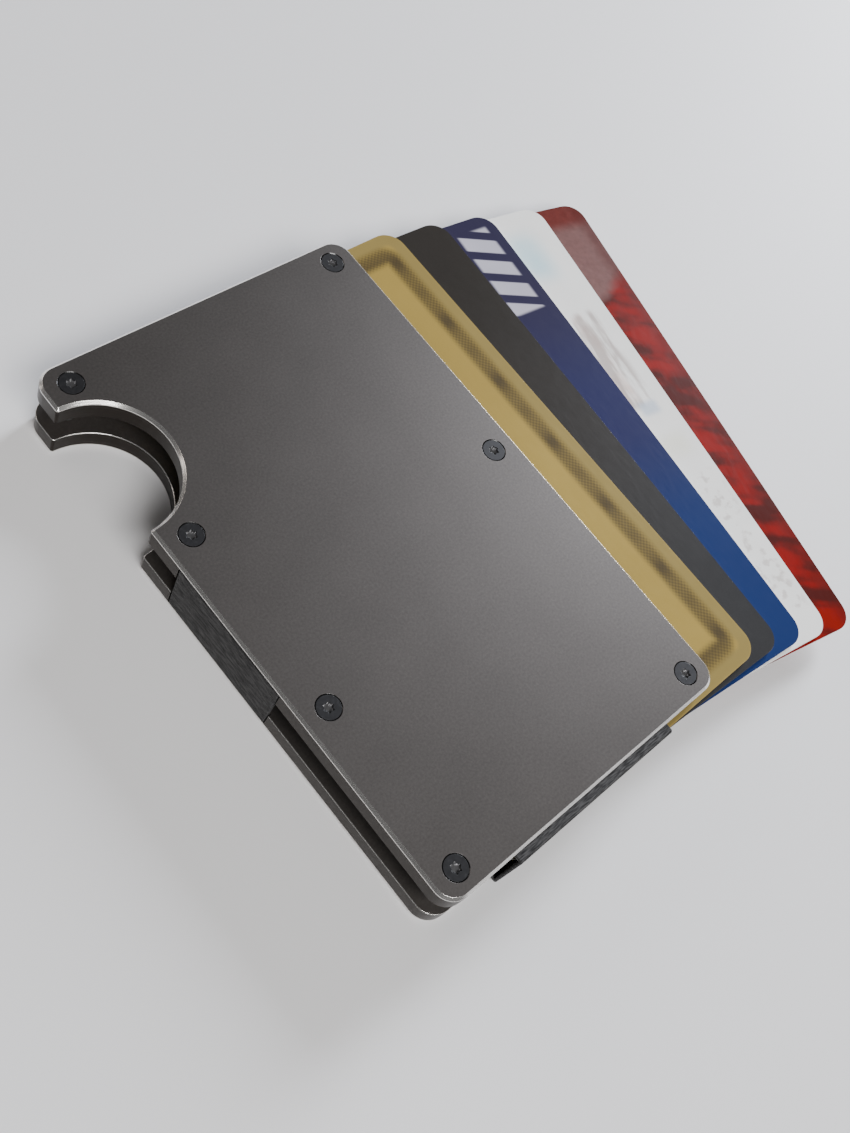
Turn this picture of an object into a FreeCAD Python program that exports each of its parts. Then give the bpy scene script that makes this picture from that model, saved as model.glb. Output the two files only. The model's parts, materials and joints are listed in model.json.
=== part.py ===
import FreeCAD, Part
import os

import Sketcher
from FreeCAD import Placement, Rotation, Vector

# Slim card wallet lying on its back: two mirrored plate halves, two elastic bands
# that pull them together, and five cards fanned out of the open long side.
# Origin at the middle of the rear cover's outer face, +Z out of the front cover,
# +Y towards the end with the thumb notch, +X out of the side that the cards leave by.

doc = FreeCAD.newDocument("card_wallet")
sheet = doc.addObject("Spreadsheet::Sheet", "dims")

driving_dimensions = {
    # Plates: outline, thicknesses from the outside inwards, and the gap for the cards
    "plate_width": 53.2,
    "plate_length": 85.6,
    "plate_corner": 3.0,
    "cover_thickness": 1.15,
    "inner_thickness": 2.1,
    "card_gap": 4.05,
    "rim_chamfer": 0.4,
    "mouth_chamfer": 0.08,
    # Thumb notch: a half circle in the edge opposite the card side
    "notch_y": 26.6,
    "notch_radius": 10.05,
    "notch_tip": 0.4,
    # Places of the fasteners
    "screw_x": 22.65,
    "screw_end_y": 39.35,
    "card_side_screw_y": 1.95,
    "band_screw_high_y": 13.3,
    "band_screw_low_y": 14.75,
    # Flat-head screw, size M2, with a six-lobe recess
    "head_radius": 1.66,
    "head_rim": 0.08,
    "head_depth": 0.78,
    "head_sink": 0.05,
    "shank_radius": 0.96,
    "screw_length": 2.9,
    "recess_radius": 0.6,
    "recess_depth": 0.45,
    "lobe_radius": 0.18,
    "thread_radius": 1.0,
    "clear_radius": 1.15,
    "sink_width": 0.68,
    # Elastic bands, the skin of the cover left over their ends, and the bars that clamp them
    "band_thickness": 0.5,
    "band_play": 0.03,
    "band_skin": 0.62,
    "side_band_low": 9.95,
    "side_band_high": 10.25,
    "side_band_proud": 0.1,
    "end_band_half": 15.1,
    "end_band_outer": 44.15,
    "tongue_reach": 7.2,
    "seat_play": 0.2,
    "relief_play": 0.1,
    "cut_overrun": 1.0,
    "bar_thickness": 0.48,
    "bar_play": 0.02,
    "bar_width": 4.2,
    "bar_overhang": 2.1,
    # Cards of the ISO ID-1 size, and the play above and below each one
    "card_length": 85.6,
    "card_width": 53.98,
    "card_thickness": 0.76,
    "card_corner": 3.18,
    "card_edge": 0.06,
    # Where each card's middle lies, and how far it is turned clockwise
    "gold_x": 11.33, "gold_y": -0.8, "gold_turn": 0.0,
    "black_x": 18.65, "black_y": -0.9, "black_turn": 3.05,
    "blue_x": 26.2, "blue_y": -1.35, "blue_turn": 6.05,
    "white_x": 34.3, "white_y": -1.8, "white_turn": 9.5,
    "red_x": 41.45, "red_y": -2.75, "red_turn": 11.7,
}

for row, (alias, amount) in enumerate(driving_dimensions.items(), start=1):
    sheet.set("A%d" % row, alias)
    sheet.set("B%d" % row, str(amount))
    sheet.setAlias("B%d" % row, alias)
doc.recompute()

half_width = "dims.plate_width / 2"
half_length = "dims.plate_length / 2"
past_side = "-(%s + dims.cut_overrun)" % half_width
past_end = "-(%s + dims.cut_overrun)" % half_length
half_thickness = "dims.cover_thickness + dims.inner_thickness"
front_plate_z = "(%s + dims.card_gap)" % half_thickness
front_face_z = "(%s + %s)" % (front_plate_z, half_thickness)
card_colours = ["red", "white", "blue", "black", "gold"]
sub_parts = []


def number(expression):
    """What an expression on the sheet comes to."""
    return float(sheet.evalExpression(expression))


def near(first, second):
    return abs(first - second) < 1e-4


def new_body(label):
    body = doc.addObject("PartDesign::Body", label)
    body.Label = label
    sub_parts.append(body)
    return body


def place(part, x="0", y="0", z="0", rotation=Rotation()):
    part.Placement = Placement(Vector(0, 0, 0), rotation)
    part.setExpression("Placement.Base.x", x)
    part.setExpression("Placement.Base.y", y)
    part.setExpression("Placement.Base.z", z)


def new_sketch(body, name, role="XY_Plane", offset="0"):
    plane = [item for item in body.Origin.OriginFeatures if item.Role == role][0]
    sketch = body.newObject("Sketcher::SketchObject", body.Label + "_" + name)
    sketch.AttachmentSupport = (plane, "")
    sketch.MapMode = "FlatFace"
    sketch.setExpression("AttachmentOffset.Base.z", offset)
    return sketch


def hold_point(sketch, curve, point, x, y):
    """Ties a point of a curve to the sketch's origin by two bound distances."""
    axes = (("DistanceX", x, -2), ("DistanceY", y, -1))
    for kind, expression, axis in axes:
        amount = number(expression)
        if near(amount, 0):
            sketch.addConstraint(Sketcher.Constraint("PointOnObject", curve, point, axis))
            continue
        ends = (-1, 1, curve, point) if amount > 0 else (curve, point, -1, 1)
        index = sketch.addConstraint(Sketcher.Constraint(kind, *ends, abs(amount)))
        sign = "" if amount > 0 else "-"
        sketch.setExpression("Constraints[%d]" % index, "%s(%s)" % (sign, expression))


def polygon(sketch, corners):
    points = [Vector(number(x), number(y), 0) for x, y in corners]
    count = len(points)
    for i in range(count):
        sketch.addGeometry(Part.LineSegment(points[i], points[(i + 1) % count]), False)
    for i in range(count):
        sketch.addConstraint(Sketcher.Constraint("Coincident", i, 2, (i + 1) % count, 1))
    for i in range(count):
        hold_point(sketch, i, 1, *corners[i])


def rectangle(sketch, left, right, low, high):
    polygon(sketch, [(left, low), (right, low), (right, high), (left, high)])


def circles(sketch, centres, radius):
    for i, (x, y) in enumerate(centres):
        middle = Vector(number(x), number(y), 0)
        sketch.addGeometry(Part.Circle(middle, Vector(0, 0, 1), number(radius)), False)
        hold_point(sketch, i, 3, x, y)
        index = sketch.addConstraint(Sketcher.Constraint("Radius", i, number(radius)))
        sketch.setExpression("Constraints[%d]" % index, radius)


def pad(body, name, sketch, length):
    feature = body.newObject("PartDesign::Pad", body.Label + "_" + name)
    feature.Profile = sketch
    feature.setExpression("Length", length)
    sketch.Visibility = False
    doc.recompute()
    return feature


def pocket(body, name, sketch, depth):
    """Cuts down from the sketch, and makes sure that something was cut."""
    volume = body.Shape.Volume
    feature = body.newObject("PartDesign::Pocket", body.Label + "_" + name)
    feature.Profile = sketch
    feature.setExpression("Length", depth)
    sketch.Visibility = False
    doc.recompute()
    if body.Shape.Volume >= volume - 1e-6:
        raise RuntimeError(feature.Label + " cuts nothing")
    return feature


def dress(body, kind, name, size, wanted):
    """A fillet or chamfer on the edges of the body that the test wants."""
    base = body.Tip
    edges = ["Edge%d" % i for i, edge in enumerate(base.Shape.Edges, start=1) if wanted(edge)]
    feature = body.newObject("PartDesign::" + kind, body.Label + "_" + name)
    feature.Base = (base, edges)
    feature.setExpression("Radius" if kind == "Fillet" else "Size", size)
    doc.recompute()
    return feature


def upright(edge):
    box = edge.BoundBox
    return box.ZLength > 1e-3 and box.XLength < 1e-3 and box.YLength < 1e-3


def level(edge, height):
    return near(edge.BoundBox.ZMin, height) and near(edge.BoundBox.ZMax, height)


def is_circle(edge, radius):
    return hasattr(edge.Curve, "Radius") and edge.isClosed() and near(edge.Curve.Radius, radius)


def plate_blank(body, hand, thickness):
    """The outline that all four plates share. hand is 1 with the notch on -X, or -1."""
    rectangle(new_sketch(body, "outline"), "-" + half_width, half_width,
              "-" + half_length, half_length)
    pad(body, "slab", body.Group[-1], thickness)
    dress(body, "Fillet", "corners", "dims.plate_corner", upright)
    notch = new_sketch(body, "notch_outline", offset=thickness)
    circles(notch, [("%d * %s" % (-hand, half_width), "dims.notch_y")], "dims.notch_radius")
    pocket(body, "notch", notch, thickness)
    reach = number("dims.notch_radius")
    middle = number("dims.notch_y")
    dress(body, "Fillet", "notch_tips", "dims.notch_tip",
          lambda edge: upright(edge) and near(abs(edge.BoundBox.YMin - middle), reach))


def screw_places(hand):
    """Middles of the holes: the four corners, the card side, and beside the side band."""
    left = "%d * dims.screw_x" % -hand
    right = "%d * dims.screw_x" % hand
    return {
        "corner": [(x, y) for x in (left, right)
                   for y in ("-dims.screw_end_y", "dims.screw_end_y")],
        "card_side": [(right, "dims.card_side_screw_y")],
        "band": [(left, "dims.band_screw_high_y"), (left, "-dims.band_screw_low_y")],
    }


def all_screws(hand):
    return [spot for group in screw_places(hand).values() for spot in group]


def turned_over(side):
    """Front pieces face up. Rear pieces are built face up too, and then turned over."""
    return Rotation() if side == "front" else Rotation(Vector(0, 1, 0), 180)


def stand(body, side, depth):
    """Puts a piece's own z = 0 at a depth below its half's outer face."""
    height = "%s - (%s)" % (front_face_z, depth) if side == "front" else depth
    place(body, z=height, rotation=turned_over(side))


def across(hand, edge, inner):
    """Left and right limits of a cut beside the notch edge, for either hand."""
    return (edge, inner) if hand == 1 else ("-(%s)" % inner, "-(%s)" % edge)


def cut_box(body, name, top, depth, left, right, low, high):
    """Cuts down from a height on the body's own z."""
    sketch = new_sketch(body, name + "_outline", offset=top)
    rectangle(sketch, left, right, low, high)
    pocket(body, name, sketch, depth)


def side_band_limits():
    return "-(dims.side_band_low + dims.seat_play)", "dims.side_band_high + dims.seat_play"


def make_cover(side):
    """Seats on the underside take the bands' ends and leave a thin skin over them."""
    hand = 1 if side == "front" else -1
    body = new_body(side + "_cover")
    thickness = number("dims.cover_thickness")
    plate_blank(body, hand, "dims.cover_thickness")
    dress(body, "Chamfer", "rim", "dims.rim_chamfer", lambda edge: level(edge, thickness))

    seat = "dims.cover_thickness - dims.band_skin"
    reach = "(dims.tongue_reach + dims.seat_play)"
    cut_box(body, "side_seat", seat, seat,
            *across(hand, past_side, "-(%s - %s)" % (half_width, reach)), *side_band_limits())
    half_seat = "(dims.end_band_half + dims.seat_play)"
    cut_box(body, "end_seat", seat, seat, "-" + half_seat, half_seat,
            past_end, "-(%s - %s)" % (half_length, reach))

    holes = new_sketch(body, "hole_places", offset="dims.cover_thickness")
    circles(holes, all_screws(hand), "dims.clear_radius")
    pocket(body, "holes", holes, "dims.cover_thickness")
    radius = number("dims.clear_radius")
    dress(body, "Chamfer", "countersinks", "dims.sink_width",
          lambda edge: level(edge, thickness) and is_circle(edge, radius))
    stand(body, side, "dims.cover_thickness")


def side_bar_span():
    return ("-(dims.band_screw_low_y + dims.bar_overhang)",
            "dims.band_screw_high_y + dims.bar_overhang")


def end_bar_span():
    return "-(dims.screw_x + dims.bar_overhang)", "dims.screw_x + dims.bar_overhang"


def make_inner_plate(side):
    """Relieved for the side band, with seats for the clamp bars open towards the cover."""
    hand = 1 if side == "front" else -1
    body = new_body(side + "_inner_plate")
    top = "dims.inner_thickness"
    plate_blank(body, hand, top)
    dress(body, "Chamfer", "mouth", "dims.mouth_chamfer", lambda edge: level(edge, 0))
    behind_band = "-(%s + dims.side_band_proud - dims.band_thickness - dims.relief_play)" % half_width
    cut_box(body, "side_relief", top, top,
            *across(hand, past_side, behind_band), *side_band_limits())

    depth = "dims.bar_thickness + 2 * dims.bar_play"
    half_seat = "(dims.bar_width / 2 + dims.seat_play)"
    bar_low, bar_high = side_bar_span()
    cut_box(body, "side_bar_seat", top, depth,
            *across(hand, "-(dims.screw_x + %s)" % half_seat, "-(dims.screw_x - %s)" % half_seat),
            "%s - dims.seat_play" % bar_low, "%s + dims.seat_play" % bar_high)
    bar_left, bar_right = end_bar_span()
    cut_box(body, "end_bar_seat", top, depth,
            "%s - dims.seat_play" % bar_left, "%s + dims.seat_play" % bar_right,
            "-(dims.screw_end_y + %s)" % half_seat, "-(dims.screw_end_y - %s)" % half_seat)

    holes = new_sketch(body, "hole_places", offset=top)
    circles(holes, all_screws(hand), "dims.thread_radius")
    pocket(body, "threads", holes, top)
    stand(body, side, half_thickness)


def make_clamp_bar(side, band):
    """Steel bar under a band's end. Two screws draw it up against the cover."""
    hand = 1 if side == "front" else -1
    body = new_body("%s_%s_clamp_bar" % (side, band))
    places = screw_places(hand)
    half_bar = "dims.bar_width / 2"
    if band == "side":
        middle = "%d * dims.screw_x" % -hand
        limits = ("%s - %s" % (middle, half_bar), "%s + %s" % (middle, half_bar), *side_bar_span())
        holes = places["band"]
    else:
        limits = (*end_bar_span(), "-(dims.screw_end_y + %s)" % half_bar,
                  "-(dims.screw_end_y - %s)" % half_bar)
        holes = [spot for spot in places["corner"] if number(spot[1]) < 0]
    outline = new_sketch(body, "outline")
    rectangle(outline, *limits)
    pad(body, "strip", outline, "dims.bar_thickness")
    dress(body, "Fillet", "ends", "dims.bar_width / 4", upright)
    hole_places = new_sketch(body, "hole_places", offset="dims.bar_thickness")
    circles(hole_places, holes, "dims.thread_radius")
    pocket(body, "threads", hole_places, "dims.bar_thickness")
    stand(body, side, "dims.cover_thickness + dims.bar_play + dims.bar_thickness")


def make_band(label, role, outer, inner, tongue_end, start, width):
    """C-shaped strap: its web crosses the card gap and its ends lie under the covers."""
    body = new_body(label)
    low = "dims.band_skin + dims.band_play"
    high = "%s - (%s)" % (front_face_z, low)
    thick = "dims.band_thickness"
    profile = new_sketch(body, "profile", role, start)
    polygon(profile, [
        (outer, low), (tongue_end, low),
        (tongue_end, "%s + %s" % (low, thick)), (inner, "%s + %s" % (low, thick)),
        (inner, "%s - %s" % (high, thick)), (tongue_end, "%s - %s" % (high, thick)),
        (tongue_end, high), (outer, high),
    ])
    pad(body, "strap", profile, width)


def make_bands():
    side_outer = "-(%s + dims.side_band_proud)" % half_width
    side_inner = "%s + dims.band_thickness" % side_outer
    make_band("side_elastic_band", "XZ_Plane", side_outer, side_inner,
              "-(%s - dims.tongue_reach)" % half_width,
              "-dims.side_band_high", "dims.side_band_low + dims.side_band_high")
    make_band("end_elastic_band", "YZ_Plane", "-dims.end_band_outer",
              "-dims.end_band_outer + dims.band_thickness",
              "-(%s - dims.tongue_reach)" % half_length,
              "-dims.end_band_half", "2 * dims.end_band_half")


def make_screw_pattern():
    """One screw, head up, with the middle of its head's face at the origin."""
    body = doc.addObject("PartDesign::Body", "screw_pattern")
    profile = new_sketch(body, "profile", "XZ_Plane")
    polygon(profile, [
        ("0", "0"), ("dims.head_radius", "0"), ("dims.head_radius", "-dims.head_rim"),
        ("dims.shank_radius", "-dims.head_depth"), ("dims.shank_radius", "-dims.screw_length"),
        ("0", "-dims.screw_length"),
    ])
    turned = body.newObject("PartDesign::Revolution", "screw_turned")
    turned.Profile = profile
    turned.ReferenceAxis = (profile, ["V_Axis"])
    turned.Angle = 360
    doc.recompute()
    core = new_sketch(body, "core")
    circles(core, [("0", "0")], "dims.recess_radius")
    pocket(body, "recess", core, "dims.recess_depth")
    lobe = new_sketch(body, "lobe")
    circles(lobe, [("dims.recess_radius", "0")], "dims.lobe_radius")
    first_lobe = pocket(body, "first_lobe", lobe, "dims.recess_depth")
    lobes = body.newObject("PartDesign::PolarPattern", "screw_lobes")
    lobes.Originals = [first_lobe]
    lobes.Axis = (lobe, ["N_Axis"])
    lobes.Angle = 360
    lobes.Occurrences = 6
    body.Tip = lobes
    doc.recompute()
    return body


def make_screws(side, pattern):
    """The screws that do one job in one half are one group of separate solids."""
    hand = 1 if side == "front" else -1
    for job, places in screw_places(hand).items():
        label = "%s_%s_%s" % (side, job, "screws" if len(places) > 1 else "screw")
        copies = []
        for i, (x, y) in enumerate(places, start=1):
            copy = doc.addObject("App::Link", "%s_copy_%d" % (label, i))
            copy.LinkedObject = pattern
            place(copy, x, y)
            copies.append(copy)
        group = doc.addObject("Part::Compound", label)
        group.Label = label
        group.Links = copies
        stand(group, side, "dims.head_sink")
        sub_parts.append(group)


def make_cards():
    """Five cards, rearmost first, with even play between them in the gap."""
    play = "(dims.card_gap - %d * dims.card_thickness) / %d" % (
        len(card_colours), len(card_colours) + 1)
    for i, colour in enumerate(card_colours):
        body = new_body(colour + "_card")
        outline = new_sketch(body, "outline")
        rectangle(outline, "-dims.card_width / 2", "dims.card_width / 2",
                  "-dims.card_length / 2", "dims.card_length / 2")
        pad(body, "sheet", outline, "dims.card_thickness")
        dress(body, "Fillet", "corners", "dims.card_corner", upright)
        top = number("dims.card_thickness")
        dress(body, "Chamfer", "edges", "dims.card_edge",
              lambda edge: level(edge, 0) or level(edge, top))
        height = "%s + %d * dims.card_thickness + %d * %s" % (half_thickness, i, i + 1, play)
        turn = number("dims.%s_turn" % colour)
        place(body, "dims.%s_x" % colour, "dims.%s_y" % colour, height,
              Rotation(Vector(0, 0, -1), turn))
        if turn > 0:
            body.setExpression("Placement.Rotation.Angle", "dims.%s_turn" % colour)


def check_and_export():
    doc.recompute()
    for item in doc.Objects:
        if "Invalid" in item.State or "Error" in item.State:
            raise RuntimeError("%s: %s" % (item.Label, item.State))
    for part in sub_parts:
        if part.Shape.isNull() or not part.Shape.isValid():
            raise RuntimeError(part.Label + " has no valid shape")
    os.makedirs("parts", exist_ok=True)
    for part in sub_parts:
        part.Shape.exportStep("parts/%s.step" % part.Label)
        print("%-24s %d solid(s), %8.2f mm3" % (
            part.Label, len(part.Shape.Solids), part.Shape.Volume))


screw = make_screw_pattern()
for half in ("rear", "front"):
    make_cover(half)
    make_inner_plate(half)
    make_clamp_bar(half, "side")
    make_clamp_bar(half, "end")
    make_screws(half, screw)
make_bands()
make_cards()
check_and_export()
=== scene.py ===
import json
import math

import bmesh
import bpy
from mathutils import Matrix, Vector


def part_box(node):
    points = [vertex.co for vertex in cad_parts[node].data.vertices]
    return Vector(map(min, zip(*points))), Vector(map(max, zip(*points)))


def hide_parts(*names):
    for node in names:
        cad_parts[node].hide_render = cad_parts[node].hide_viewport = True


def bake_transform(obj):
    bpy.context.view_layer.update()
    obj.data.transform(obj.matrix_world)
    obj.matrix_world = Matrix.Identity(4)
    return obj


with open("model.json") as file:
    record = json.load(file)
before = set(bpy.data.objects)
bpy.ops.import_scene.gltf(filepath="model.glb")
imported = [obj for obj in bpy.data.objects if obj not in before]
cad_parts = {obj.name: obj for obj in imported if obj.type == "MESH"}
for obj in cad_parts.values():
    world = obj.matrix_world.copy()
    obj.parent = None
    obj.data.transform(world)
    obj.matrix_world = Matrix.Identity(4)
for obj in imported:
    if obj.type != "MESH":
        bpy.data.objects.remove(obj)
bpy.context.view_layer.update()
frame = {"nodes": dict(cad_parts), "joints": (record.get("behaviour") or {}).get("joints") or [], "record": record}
mm = 0.001
joints = {joint["name"]: joint for joint in frame["joints"]}
print("frame loaded:", len(frame["nodes"]), "nodes")


# places that the pieces below share, all read from the frame
frontLow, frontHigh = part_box("front_cover")
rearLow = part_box("rear_cover")[0]
faceHeight = frontHigh.z
plateMiddle = (rearLow + frontHigh) / 2


class Wire:
    # a node's output, wrapped so that maths on it is written as plain Python
    def __init__(self, finish, output):
        self.finish = finish
        self.output = output

    def maths(self, operation, *values):
        return self.finish.node("ShaderNodeMath", {"operation": operation}, dict(enumerate(values)))

    def __add__(self, other):
        return self.maths("ADD", self, other)

    def __sub__(self, other):
        return self.maths("SUBTRACT", self, other)

    def __rsub__(self, other):
        return self.maths("SUBTRACT", other, self)

    def __mul__(self, other):
        return self.maths("MULTIPLY", self, other)

    def __abs__(self):
        return self.maths("ABSOLUTE", self)

    def __pow__(self, other):
        return self.maths("POWER", self, other)

    __radd__ = __add__
    __rmul__ = __mul__

    def sine(self):
        return self.maths("SINE", self)

    def over(self, edge):
        return self.maths("GREATER_THAN", self, edge)

    def smaller(self, other):
        return self.maths("MINIMUM", self, other)

    def larger(self, other):
        return self.maths("MAXIMUM", self, other)

    def step(self, low, high):
        # 0 below low, 1 above high, soft between; low may be the larger one
        settings = {"interpolation_type": "SMOOTHSTEP"}
        return self.finish.node("ShaderNodeMapRange", settings, {0: self, 1: low, 2: high})

    def split(self):
        first = self.finish.node("ShaderNodeSeparateXYZ", {}, {0: self})
        return [Wire(self.finish, output) for output in first.output.node.outputs]


class Finish:
    # one material: its Principled shader and the nodes that feed it
    def __init__(self, name):
        self.material = bpy.data.materials.new(name)
        self.material.use_nodes = True
        self.tree = self.material.node_tree
        self.shader = self.tree.nodes["Principled BSDF"]

    def feed(self, socket, value):
        if isinstance(value, Wire):
            self.tree.links.new(value.output, socket)
        elif isinstance(value, (tuple, list)) and len(value) == 3 and socket.type == "RGBA":
            socket.default_value = (*value, 1)
        else:
            socket.default_value = value

    def node(self, kind, settings, inputs, output=0):
        node = self.tree.nodes.new(kind)
        for key, value in settings.items():
            setattr(node, key, value)
        for key, value in inputs.items():
            self.feed(node.inputs[key], value)
        return Wire(self, node.outputs[output])

    def place(self):
        return self.node("ShaderNodeTexCoord", {}, {}, "Object")

    def facing(self):
        return self.node("ShaderNodeNewGeometry", {}, {}, "Normal")

    def noise(self, place, size, detail=3, stretch=(1, 1, 1)):
        # size is the rough width of one patch, in metres
        scaled = self.node("ShaderNodeMapping", {}, {0: place, "Scale": stretch})
        return self.node("ShaderNodeTexNoise", {}, {0: scaled, "Scale": 1 / size, "Detail": detail})

    def mix(self, mask, first, second):
        settings = {"data_type": "RGBA", "clamp_factor": True}
        return self.node("ShaderNodeMix", settings, {0: mask, 6: first, 7: second}, 2)

    def tint(self, colour, amount):
        # a colour made lighter or darker by a wire round 1
        settings = {"operation": "SCALE"}
        return self.node("ShaderNodeVectorMath", settings, {0: colour, "Scale": amount})

    def bump(self, height, distance, strength=1, normal=None):
        inputs = {"Height": height, "Distance": distance, "Strength": strength}
        if normal:
            inputs["Normal"] = normal
        return self.node("ShaderNodeBump", {}, inputs)

    def soft(self, radius):
        # the normal rounded over sharp edges
        return self.node("ShaderNodeBevel", {"samples": 6}, {"Radius": radius})

    def shade(self, **inputs):
        for key, value in inputs.items():
            self.feed(self.shader.inputs[key.replace("_", " ").title()], value)
        return self


# camera and studio
cameraSetup = {
    "aim": (1.08 * mm, -6.69 * mm),   # on the front face, angles below in degrees
    "distance": 172.5 * mm,
    "azimuth": 71.8,
    "elevation": 56.3,
    "roll": 35.0,
    "lens": 41.2,                     # focal length and sensor width in millimetres
    "sensor": 36,
    "clipStart": 10 * mm,
}
studio = {
    "floorReach": 2.0,                # metres from the middle to each side
    "floorRoughness": 0.6,
    "floorColour": (0.74, 0.74, 0.75),
    "worldColour": (0.80, 0.82, 0.86),
    "worldStrength": 0.065,
}
studioLights = {
    # place, width and length in metres, power in watts, colour
    "sideLight": ((0.70, 0.10, 0.27), (0.20, 0.24), 11.3, (0.89, 0.925, 1.0)),
    "topLight": ((-0.20, -0.46, 0.60), (0.50, 0.30), 7.5, (1.0, 0.985, 0.97)),
    "rimLight": ((-0.14, 0.64, 0.30), (0.70, 0.22), 1.3, (1.0, 0.91, 0.84)),
}


def pointAt(thing, place, aim, roll=0):
    direction = Vector(aim) - Vector(place)
    turn = direction.to_track_quat("-Z", "Y").to_matrix().to_4x4()
    thing.matrix_world = Matrix.Translation(place) @ turn @ Matrix.Rotation(roll, 4, "Z")


def makeCamera():
    data = bpy.data.cameras.new("viewCamera")
    data.lens = cameraSetup["lens"]
    data.sensor_width = cameraSetup["sensor"]
    data.clip_start = cameraSetup["clipStart"]
    camera = bpy.data.objects.new("viewCamera", data)
    bpy.context.scene.collection.objects.link(camera)
    azimuth = math.radians(cameraSetup["azimuth"])
    elevation = math.radians(cameraSetup["elevation"])
    back = Vector((-math.sin(azimuth) * math.cos(elevation),
                   -math.cos(azimuth) * math.cos(elevation), math.sin(elevation)))
    aim = Vector((*cameraSetup["aim"], faceHeight))
    pointAt(camera, aim + back * cameraSetup["distance"], aim, math.radians(cameraSetup["roll"]))
    bpy.context.scene.camera = camera


def makeStudio():
    floorMesh = bpy.data.meshes.new("floor")
    reach = studio["floorReach"]
    corners = [(-reach, -reach, 0), (reach, -reach, 0), (reach, reach, 0), (-reach, reach, 0)]
    floorMesh.from_pydata(corners, [], [(0, 1, 2, 3)])
    floor = bpy.data.objects.new("floor", floorMesh)
    bpy.context.scene.collection.objects.link(floor)
    finish = Finish("paleFloor")
    finish.shade(base_color=studio["floorColour"], roughness=studio["floorRoughness"])
    floorMesh.materials.append(finish.material)
    for name, (place, size, power, colour) in studioLights.items():
        data = bpy.data.lights.new(name, "AREA")
        data.shape = "RECTANGLE"
        data.size, data.size_y = size
        data.energy = power
        data.color = colour
        light = bpy.data.objects.new(name, data)
        bpy.context.scene.collection.objects.link(light)
        pointAt(light, place, plateMiddle)
    world = bpy.data.worlds.new("studioWorld")
    bpy.context.scene.world = world
    world.use_nodes = True
    background = world.node_tree.nodes["Background"]
    background.inputs["Color"].default_value = (*studio["worldColour"], 1)
    background.inputs["Strength"].default_value = studio["worldStrength"]


makeCamera()
makeStudio()
print("camera, floor and lights ready")


# bead-blasted, anodised plates with polished rims and milled walls; the walls' dark colour is painted shade, and
# the pale line under the rim a painted highlight
plateFinish = {
    "face": (0.114, 0.1045, 0.098),
    # painted shade: the wall colour is darkened in place of the dark reflection the walls show
    "wall": (0.019, 0.0140, 0.0105),
    "rim": (0.88, 0.86, 0.83),
    "sink": (0.055, 0.055, 0.056),    # slopes of the countersinks, darkened as painted shade
    "sinkReach": 2.0 * mm,            # how far from a screw's middle a slope is a sink
    "notchRadius": 10.05 * mm,
    "faceRoughness": 0.46,
    "wallRoughness": 0.34,
    "rimRoughness": 0.22,
    "metal": 0.92,
    # less metal on the line lets its pale colour show: a painted highlight
    "lineMetal": 0.80,
    "rimChamfer": 0.40 * mm,
    "rimLine": 0.16 * mm,             # polished line on the wall below the chamfer, drawn pale as a painted highlight
    "lineSoftness": 0.03 * mm,
    "grain": 0.12 * mm,
    "pebble": 0.34 * mm,
    "cloud": 9 * mm,
    "grainDepth": 0.008 * mm,
    "millPitch": 0.28 * mm,
    "millStretch": (0.04, 0.04, 2.5),
    "edgeRadius": 0.06 * mm,
}


def notchMiddle():
    openings = frame["record"]["physics"]["openings"]
    low, high = next(opening["box_m"] for opening in openings if opening["name"] == "thumb_notch")
    return (low[1] + high[1]) / 2


def sinkShadeMask(x, y):
    # 1 near the rows of screws on either side, where the countersinks get painted shade, but not on the notch's
    # own chamfer
    look = plateFinish
    screwLow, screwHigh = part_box("front_card_side_screw")
    rowX = (screwLow.x + screwHigh.x) / 2
    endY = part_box("front_corner_screws")[1].y - (screwHigh.x - screwLow.x) / 2
    notchY = notchMiddle()
    fromNotch = ((x - frontLow.x) * (x - frontLow.x) + (y - notchY) * (y - notchY)) ** 0.5
    return ((1 - abs(abs(x) - rowX).over(look["sinkReach"]))
            * (1 - abs(y).over(endY + look["sinkReach"]))
            * fromNotch.over(look["notchRadius"] + look["rimChamfer"] * 1.5))


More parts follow.
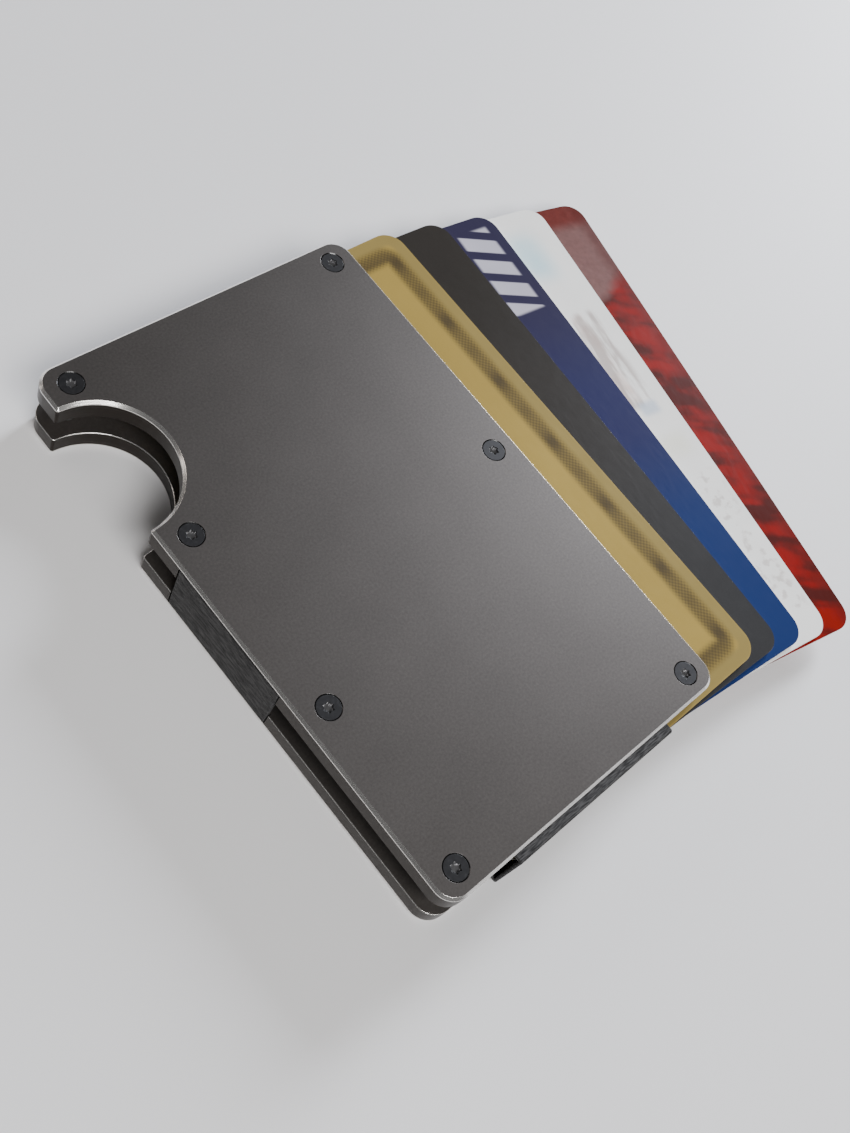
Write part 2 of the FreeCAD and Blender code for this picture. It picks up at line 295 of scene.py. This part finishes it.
def platePaint(name):
    look = plateFinish
    finish = Finish(name)
    place = finish.place()
    x, y, z = place.split()
    height = abs(z - plateMiddle.z)
    # the way a spot faces tells the flat faces, the chamfers and the walls apart
    up = abs(finish.facing().split()[2])
    flat = up.step(0.85, 0.97)
    slope = up.step(0.25, 0.6) * (1 - flat)
    lineEdge = (frontHigh.z - rearLow.z) / 2 - look["rimChamfer"] - look["rimLine"]
    soft = look["lineSoftness"]
    # painted highlight: a pale band along the wall just below the rim chamfer, partly a real polished edge
    highlightLine = (1 - flat - slope) * height.step(lineEdge - soft, lineEdge + soft)
    polishedAndHighlight = slope + highlightLine
    grain = finish.noise(place, look["grain"], 4)
    pebble = finish.noise(place, look["pebble"], 2)
    cloud = finish.noise(place, look["cloud"], 3)
    lines = finish.noise(place, look["millPitch"], 3, look["millStretch"])
    speckle = 0.35 * (grain - 0.5) + 0.45 * (pebble - 0.5)
    face = finish.tint(look["face"], 0.94 + 0.06 * cloud + speckle)
    # painted shade: the walls get a dark colour in place of a dark reflection; the milling lines on it are their
    # own
    wall = finish.tint(look["wall"], 0.45 + 1.1 * lines)
    # painted shade: the countersink slopes take a darker colour than the rim
    rim = finish.tint(finish.mix(sinkShadeMask(x, y), look["rim"], look["sink"]), 0.85 + 0.3 * cloud)
    colour = finish.mix(polishedAndHighlight, finish.mix(flat, wall, face), rim)
    rough = (look["wallRoughness"] + (look["faceRoughness"] - look["wallRoughness"]) * flat
             + 0.04 * (cloud - 0.5) + (look["rimRoughness"] - look["wallRoughness"]) * polishedAndHighlight)
    relief = grain * flat + 1.6 * lines * (1 - flat)
    normal = finish.bump(relief, look["grainDepth"], 0.6, finish.soft(look["edgeRadius"]))
    # the line's lower metallic value makes it a painted highlight
    metal = look["metal"] + (look["lineMetal"] - look["metal"]) * highlightLine
    return finish.shade(base_color=colour, metallic=metal, roughness=rough, normal=normal)


def paintNodes(finish, names):
    for name in names:
        thing = frame["nodes"][name]
        thing.data.materials.clear()
        thing.data.materials.append(finish.material)


plateNodes = [side + part for side in ("front_", "rear_") for part in ("cover", "inner_plate")]
paintNodes(platePaint("gunmetalPlate"), plateNodes)
print("plates finished")


# black screws, with a painted glint inside their recesses, and the hidden clamp bars
screwFinish = {
    "colour": (0.036, 0.036, 0.038),
    "worn": (0.09, 0.09, 0.09),
    "recess": (0.36, 0.36, 0.37),
    "roughness": 0.46,
    "metal": 0.85,
    "cloud": 0.5 * mm,
    "scuff": 0.12 * mm,
    "scuffDepth": 0.004 * mm,
    "recessFrom": 0.10 * mm,          # how far below the head's face the painted glint starts
    "recessTo": 0.22 * mm,
    "edgeRadius": 0.05 * mm,
}
stripFinish = {"colour": (0.45, 0.45, 0.46), "roughness": 0.3, "linePitch": 0.2 * mm}


def screwPaint():
    look = screwFinish
    finish = Finish("blackScrew")
    place = finish.place()
    cloud = finish.noise(place, look["cloud"], 4)
    scuff = finish.noise(place, look["scuff"], 3)
    height = abs(place.split()[2] - plateMiddle.z)
    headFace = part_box("front_corner_screws")[1].z - plateMiddle.z
    inside = height.step(headFace - look["recessFrom"], headFace - look["recessTo"])
    colour = finish.mix(cloud.step(0.60, 0.85) * 0.5, look["colour"], look["worn"])
    # painted glint: the inside of the recess is drawn pale grey
    colour = finish.mix(inside * (0.4 + 0.6 * scuff), colour, look["recess"])
    normal = finish.bump(scuff, look["scuffDepth"], 0.5, finish.soft(look["edgeRadius"]))
    rough = look["roughness"] + 0.2 * (cloud - 0.5) - 0.1 * inside
    return finish.shade(base_color=colour, metallic=look["metal"], roughness=rough, normal=normal)


def stripPaint():
    look = stripFinish
    finish = Finish("rolledStrip")
    lines = finish.noise(finish.place(), look["linePitch"], 3, (0.08, 2, 1))
    colour = finish.tint(look["colour"], 0.8 + 0.4 * lines)
    return finish.shade(base_color=colour, metallic=1.0, roughness=look["roughness"] + 0.2 * lines)


paintNodes(screwPaint(), [name for name in frame["nodes"] if "screw" in name])
paintNodes(stripPaint(), [name for name in frame["nodes"] if "clamp_bar" in name])
print("screws and clamp bars finished")


# cards: each one's middle and turn give the place of its print; the gold card
# isn't turned, so its box is the size of every card
goldLow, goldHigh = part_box("gold_card")
cardSize = goldHigh - goldLow
cardPrint = {
    "core": (0.78, 0.77, 0.74),       # plain plastic that shows along the edges
    "skin": 0.14 * mm,
    "corner": 3.18 * mm,
    "wave": 6 * mm,
    "scuff": 0.3 * mm,
    "relief": 0.02 * mm,
    "coatRoughness": 0.08,
    "specular": 0.3,
}


def cardTurn(colour):
    joint = joints.get(colour + "_card_fan")
    return math.radians(joint["range_deg"][1]) if joint else 0.0


class CardPrint(Finish):
    # a finish with the card's own x, y and z, in metres from its middle
    def __init__(self, colour):
        super().__init__(colour + "CardPrint")
        low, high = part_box(colour + "_card")
        middle = (low + high) / 2
        moved = self.node("ShaderNodeVectorMath", {"operation": "SUBTRACT"},
                          {0: self.place(), 1: middle})
        self.local = self.node("ShaderNodeVectorRotate", {"rotation_type": "Z_AXIS"},
                               {"Vector": moved, "Angle": cardTurn(colour)})
        self.x, self.y, self.z = self.local.split()
        halfThick = cardSize.z / 2
        self.skin = abs(self.z).step(halfThick - cardPrint["skin"] * 1.1,
                                     halfThick - cardPrint["skin"] * 0.9)

    def panel(self, left, right, low, high, soft):
        # a mask that is 1 inside a rectangle
        across = self.x.step(left - soft, left + soft) * self.x.step(right + soft, right - soft)
        along = self.y.step(low - soft, low + soft) * self.y.step(high + soft, high - soft)
        return across * along

    def border(self, inset, width, corner, soft):
        # a mask for a frame with round corners, set in from the card's edge
        inwardX = abs(self.x) - (cardSize.x / 2 - inset - corner)
        inwardY = abs(self.y) - (cardSize.y / 2 - inset - corner)
        outX = inwardX.larger(0)
        outY = inwardY.larger(0)
        inside = inwardX.larger(inwardY).smaller(0)
        depth = (outX * outX + outY * outY) ** 0.5 + inside - corner
        return depth.step(-width - soft, -width + soft) * depth.step(soft, -soft)

    def coat(self, colour, rough, metal=0.0, gloss=0.1):
        look = cardPrint
        wave = self.noise(self.local, look["wave"], 2)
        scuff = self.noise(self.local, look["scuff"], 4, (1, 0.15, 1))
        core = self.tint(look["core"], 0.9 + 0.2 * scuff)
        paint = self.mix(self.skin, core, colour)
        normal = self.bump(wave + 0.1 * scuff, look["relief"], 0.25)
        metallic = self.skin * metal if metal else 0.0
        self.shade(base_color=paint, metallic=metallic, normal=normal, coat_weight=gloss,
                   roughness=rough + 0.08 * (scuff - 0.5))
        self.shader.inputs["Coat Roughness"].default_value = look["coatRoughness"]
        self.shader.inputs["Specular IOR Level"].default_value = look["specular"]
        return self


goldPrint = {
    "colour": (0.40, 0.285, 0.075),
    "edge": (0.30, 0.225, 0.075),
    "frame": (0.105, 0.080, 0.038),
    "knot": (0.060, 0.046, 0.028),
    "knotPitch": 12.4 * mm,
    "loopPitch": 0.7 * mm,
    "grain": 0.2 * mm,
    "cloud": 14 * mm,
    # borders: inset, width, corner radius and softness
    "frameBorder": (2.1 * mm, 3.1 * mm, 3.0 * mm, 0.6 * mm),
    "knotBorder": (2.8 * mm, 1.8 * mm, 2.4 * mm, 0.5 * mm),
    "edgeBorder": (0, 2.2 * mm, cardPrint["corner"], 0.5 * mm),
}


def goldCard():
    # fine loops fill a soft frame, darker at evenly spaced knots
    look = goldPrint
    card = CardPrint("gold")
    grain = card.noise(card.local, look["grain"], 3)
    cloud = card.noise(card.local, look["cloud"], 2)
    gold = card.tint(look["colour"], 0.86 + 0.22 * cloud + 0.12 * (grain - 0.5))
    turn = 2 * math.pi / look["loopPitch"]
    loops = (card.x * turn).sine() * (card.y * turn).sine()
    beat = math.pi / look["knotPitch"]
    wide = (card.y * beat).sine() ** 2
    close = (card.y * (beat * 2)).sine() ** 2
    edgeMask = card.border(*look["edgeBorder"])
    gold = card.mix(edgeMask, gold, card.tint(look["edge"], 0.9 + 0.2 * cloud))
    frameMask = card.border(*look["frameBorder"])
    gold = card.mix(frameMask * (0.68 + 0.22 * loops), gold, look["frame"])
    knots = 0.30 + (1 - wide) ** 3 * 0.35 + (1 - close) ** 2 * 0.15
    gold = card.mix(card.border(*look["knotBorder"]) * knots, gold, look["knot"])
    return card.coat(gold, 0.22, 0.25)


blackPrint = {
    "high": (0.027, 0.024, 0.021),
    "low": (0.031, 0.031, 0.032),
    "fade": (-40 * mm, 20 * mm),      # from the low colour to the high one, up the card
    "grain": 0.15 * mm,
    "cloud": 18 * mm,
}


def blackCard():
    look = blackPrint
    card = CardPrint("black")
    grain = card.noise(card.local, look["grain"], 4)
    cloud = card.noise(card.local, look["cloud"], 2)
    colour = card.mix(card.y.step(*look["fade"]), look["low"], look["high"])
    return card.coat(card.tint(colour, 0.8 + 0.25 * cloud + 0.3 * (grain - 0.5)), 0.22, 0.0, 0.0)


bluePrint = {
    "high": (0.027, 0.024, 0.052),
    "middle": (0.021, 0.023, 0.075),
    "low": (0.012, 0.027, 0.105),
    "pale": (0.44, 0.43, 0.50),
    "cloud": 12 * mm,
    "drift": 5 * mm,                  # how far the cloud bends the fades
    "lowFade": (-22 * mm, 0),
    "highFade": (2 * mm, 30 * mm),
    "barPitch": 4.6 * mm,
    "barSlope": 0.45,
    # left, right, low, high and softness, from the card's middle
    "block": (18.8 * mm, 24.9 * mm, 23.4 * mm, 40.4 * mm, 0.35 * mm),
}


def blueCard():
    # a block of plain slanted bars stands where printing would be
    look = bluePrint
    card = CardPrint("blue")
    cloud = card.noise(card.local, look["cloud"], 3)
    drift = card.y + look["drift"] * (cloud - 0.5)
    colour = card.mix(drift.step(*look["lowFade"]), look["low"], look["middle"])
    colour = card.mix(drift.step(*look["highFade"]), colour, look["high"])
    slant = (card.y + look["barSlope"] * card.x) * (2 * math.pi / look["barPitch"])
    bars = slant.sine().step(-0.55, -0.15)
    block = card.panel(*look["block"])
    return card.coat(card.mix(block * bars * (0.75 + 0.35 * cloud), colour, look["pale"]), 0.18)


whitePrint = {
    "colour": (0.82, 0.82, 0.80),
    "paleBlue": (0.44, 0.66, 0.74),
    "warmGrey": (0.36, 0.30, 0.28),
    "blush": (0.68, 0.55, 0.50),
    "dustyBlue": (0.36, 0.46, 0.60),
    "cream": (0.74, 0.74, 0.62),
    "cloud": 7 * mm,
    "streak": 1.6 * mm,
    "speck": 1.5 * mm,
    # left, right, low, high and softness, from the card's middle
    "paleBlueArea": (17 * mm, 22.5 * mm, 29 * mm, 38 * mm, 2.4 * mm),
    "streakArea": (18.5 * mm, 24.0 * mm, 2 * mm, 21 * mm, 0.9 * mm),
    "blushArea": (19.0 * mm, 21.6 * mm, 3 * mm, 21 * mm, 0.6 * mm),
    "dustyBlueArea": (20.5 * mm, 24.0 * mm, 0.2 * mm, 2.6 * mm, 0.7 * mm),
    "creamArea": (19 * mm, 25 * mm, -8 * mm, -4 * mm, 1.6 * mm),
    "speckArea": (21.5 * mm, 26.0 * mm, -38 * mm, -12 * mm, 0.9 * mm),
}


def whiteCard():
    # soft areas of colour lie on the strip that shows past the blue card
    look = whitePrint
    card = CardPrint("white")
    cloud = card.noise(card.local, look["cloud"], 3)
    streak = card.noise(card.local, look["streak"], 3, (1, 0.16, 1)).step(0.40, 0.60)
    speck = card.noise(card.local, look["speck"], 4).step(0.50, 0.66)
    colour = card.tint(look["colour"], 0.93 + 0.12 * cloud)
    areas = (("paleBlueArea", 0.35 + 0.8 * cloud, "paleBlue"),
             ("blushArea", cloud.step(0.35, 0.65), "blush"),
             ("streakArea", streak * 0.75, "warmGrey"),
             ("dustyBlueArea", 0.6, "dustyBlue"),
             ("creamArea", 0.55, "cream"),
             ("speckArea", speck * 0.45, "warmGrey"))
    for area, amount, paint in areas:
        colour = card.mix(card.panel(*look[area]) * amount, colour, look[paint])
    return card.coat(colour, 0.18)


redPrint = {
    "bright": (0.200, 0.006, 0.004),
    "dark": (0.060, 0.008, 0.006),
    "haze": (0.145, 0.075, 0.070),
    "edge": (0.11, 0.022, 0.018),
    "brushTurn": 25,                  # degrees
    "brush": 3.6 * mm,
    "blotch": 6 * mm,
    "fine": 1.0 * mm,
    "hazeFade": (22.0 * mm, 25.0 * mm),
    "hazeRagged": 5 * mm,
    "hazeSlope": 0.5,
    "hazeMiddle": 20 * mm,
    "edgeFade": (37 * mm, 40 * mm),
    # painted shadow along one long edge
    "sideFade": (23.8 * mm, 26.4 * mm),
}


def redCard():
    look = redPrint
    card = CardPrint("red")
    # slanted brush-like streaks
    slanted = card.node("ShaderNodeVectorRotate", {"rotation_type": "Z_AXIS"},
                        {"Vector": card.local, "Angle": math.radians(look["brushTurn"])})
    brush = card.noise(slanted, look["brush"], 2, (0.28, 1, 1))
    blotch = card.noise(card.local, look["blotch"], 3)
    fine = card.noise(card.local, look["fine"], 4)
    dark = (brush + 0.35 * (blotch - 0.5) + 0.10 * (fine - 0.5)).step(0.40, 0.64)
    colour = card.mix(dark, look["bright"], look["dark"])
    # a hazy pale area at the top, with a ragged lower edge
    ragged = (card.y + look["hazeRagged"] * (blotch - 0.5)
              - look["hazeSlope"] * (card.x - look["hazeMiddle"]))
    pale = card.mix(card.y.step(*look["edgeFade"]), look["haze"], look["edge"])
    colour = card.mix(ragged.step(*look["hazeFade"]), colour, card.tint(pale, 0.75 + 0.5 * fine))
    # painted shadow: the card darkens towards its long edge past 23.8 mm
    shade = card.x.step(*look["sideFade"])
    return card.coat(card.mix(shade * 0.5, colour, look["dark"]), 0.18)


for colour, paint in (("gold", goldCard), ("black", blackCard), ("blue", blueCard),
                      ("white", whiteCard), ("red", redCard)):
    paintNodes(paint(), [colour + "_card"])
print("cards printed")


# elastic bands, woven: ribs lie across the strap and fine cords run along it
weave = {
    "thickness": 0.50 * mm,
    "cordPitch": 0.42 * mm,
    "ribPitch": 0.98 * mm,
    "relief": 0.10 * mm,
    "hem": 0.42 * mm,
    "samplesPerCord": 4,
    "samplesPerRib": 8,
    "bend": 0.36 * mm,                # radius where the strap turns into its slot
    "bendSteps": 6,
    "colour": (0.007, 0.007, 0.0075),
    # pale threads, partly a painted highlight along the ribs
    "lightThread": (0.075, 0.074, 0.075),
    "roughness": 0.86,
    "fibre": 0.06 * mm,
    "fibreDepth": 0.03 * mm,
    "dash": 0.16 * mm,
    "sheen": 0.05,
    "sheenRoughness": 0.5,
    "specular": 0.25,
}


def bandPaint():
    look = weave
    finish = Finish("wovenElastic")
    place = finish.place()
    fibre = finish.noise(place, look["fibre"], 3)
    # light threads lie in dashes along the ribs of either strap; a sine at the rib pitch gathers them in rows, a
    # painted highlight on the ribs
    sideways = finish.noise(place, look["dash"], 2, (1, 0.12, 1))
    lengthways = finish.noise(place, look["dash"], 2, (0.12, 1, 1))
    x, y, z = place.split()
    endStrap = y.step(frontLow.y + 0.2 * mm, frontLow.y)
    dash = sideways * (1 - endStrap) + lengthways * endStrap
    rib = (z * (2 * math.pi / look["ribPitch"])).sine()
    colour = finish.mix((dash + 0.08 * rib).step(0.36, 0.74) * (0.45 + 0.7 * fibre),
                        look["colour"], look["lightThread"])
    normal = finish.bump(fibre, look["fibreDepth"], 0.7)
    finish.shade(base_color=colour, roughness=look["roughness"], normal=normal)
    finish.shader.inputs["Sheen Weight"].default_value = look["sheen"]
    finish.shader.inputs["Sheen Roughness"].default_value = look["sheenRoughness"]
    finish.shader.inputs["Specular IOR Level"].default_value = look["specular"]
    return finish


def bandProfile(outer, tongue, low, high):
    # points along the strap's outer face, rear end first, each with its outward direction
    bend = weave["bend"]
    steps = weave["bendSteps"]
    middle = (outer + tongue) / 2
    spots = [((tongue, low), (0, -1)), ((middle, low), (0, -1))]
    for i in range(steps + 1):
        angle = math.pi / 2 * i / steps
        spots.append(((outer + bend - bend * math.sin(angle), low + bend - bend * math.cos(angle)),
                      (-math.sin(angle), -math.cos(angle))))
    rise = high - low - 2 * bend
    rows = round(rise / weave["ribPitch"] * weave["samplesPerRib"])
    for i in range(1, rows):
        spots.append(((outer, low + bend + rise * i / rows), (-1, 0)))
    for i in range(steps + 1):
        angle = math.pi / 2 * (1 - i / steps)
        spots.append(((outer + bend - bend * math.sin(angle), high - bend + bend * math.cos(angle)),
                      (-math.sin(angle), math.cos(angle))))
    return spots + [((middle, high), (0, 1)), ((tongue, high), (0, 1))]


def weaveHeight(across, along, width):
    # height of the cloth's face at a distance across the strap and along its length:
    # ribs across the strap, crossed by fine cords, with a raised hem down each edge
    look = weave
    edge = min(across, width - across)
    if edge < look["hem"]:
        return look["relief"] * (0.25 + 0.75 * math.sin(math.pi * edge / look["hem"]))
    rib = along / look["ribPitch"]
    ribRise = abs(math.sin(math.pi * rib)) ** 0.7
    cord = across / look["cordPitch"] + 0.5 * math.floor(rib)
    cordRise = abs(math.sin(math.pi * cord)) ** 0.8
    return look["relief"] * (0.20 + 0.80 * ribRise) * (0.50 + 0.50 * cordRise)


def bandLift(side, hidden, across, along, width):
    # how far a point lies outside the profile; the hidden ends are plain
    if side == "outer":
        return 0 if hidden else weaveHeight(across, along, width)
    return (0 if hidden else weave["relief"]) - weave["thickness"]


def makeBand(name, node, axis, finish):
    # axis is the direction out of the edge that the strap wraps: 0 for X, 1 for Y
    low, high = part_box(node)
    width = high[1 - axis] - low[1 - axis]
    profile = bandProfile(low[axis] + weave["relief"], high[axis], low.z, high.z)
    columns = round(width / weave["cordPitch"]) * weave["samplesPerCord"]
    mesh = bmesh.new()
    along = 0
    rows = {"outer": [], "inner": []}
    for i, ((out, rise), (outward, upward)) in enumerate(profile):
        if i:
            before = profile[i - 1][0]
            along += math.hypot(out - before[0], rise - before[1])
        hidden = min(i, len(profile) - 1 - i) < 3   # the three points inside each plate
        for side in ("outer", "inner"):
            row = []
            for j in range(columns + 1):
                across = width * j / columns
                lift = bandLift(side, hidden, across, along, width)
                spot = [0, 0, rise + upward * lift]
                spot[axis] = out + outward * lift
                spot[1 - axis] = low[1 - axis] + across
                row.append(mesh.verts.new(spot))
            rows[side].append(row)
    for side in ("outer", "inner"):
        for first, second in zip(rows[side], rows[side][1:]):
            for j in range(columns):
                mesh.faces.new((first[j], first[j + 1], second[j + 1], second[j]))
    for end in (0, -1):
        outer, inner = rows["outer"][end], rows["inner"][end]
        for j in range(columns):
            mesh.faces.new((outer[j], outer[j + 1], inner[j + 1], inner[j]))
    for j in (0, -1):
        for i in range(len(profile) - 1):
            mesh.faces.new((rows["outer"][i][j], rows["outer"][i + 1][j],
                            rows["inner"][i + 1][j], rows["inner"][i][j]))
    bmesh.ops.recalc_face_normals(mesh, faces=mesh.faces)
    data = bpy.data.meshes.new(name)
    mesh.to_mesh(data)
    mesh.free()
    data.shade_smooth()
    data.materials.append(finish.material)
    band = bpy.data.objects.new(name, data)
    bpy.context.scene.collection.objects.link(band)
    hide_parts(node)
    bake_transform(band)


elastic = bandPaint()
makeBand("side_band_woven", "side_elastic_band", 0, elastic)
makeBand("end_band_woven", "end_elastic_band", 1, elastic)
print("elastic bands woven")
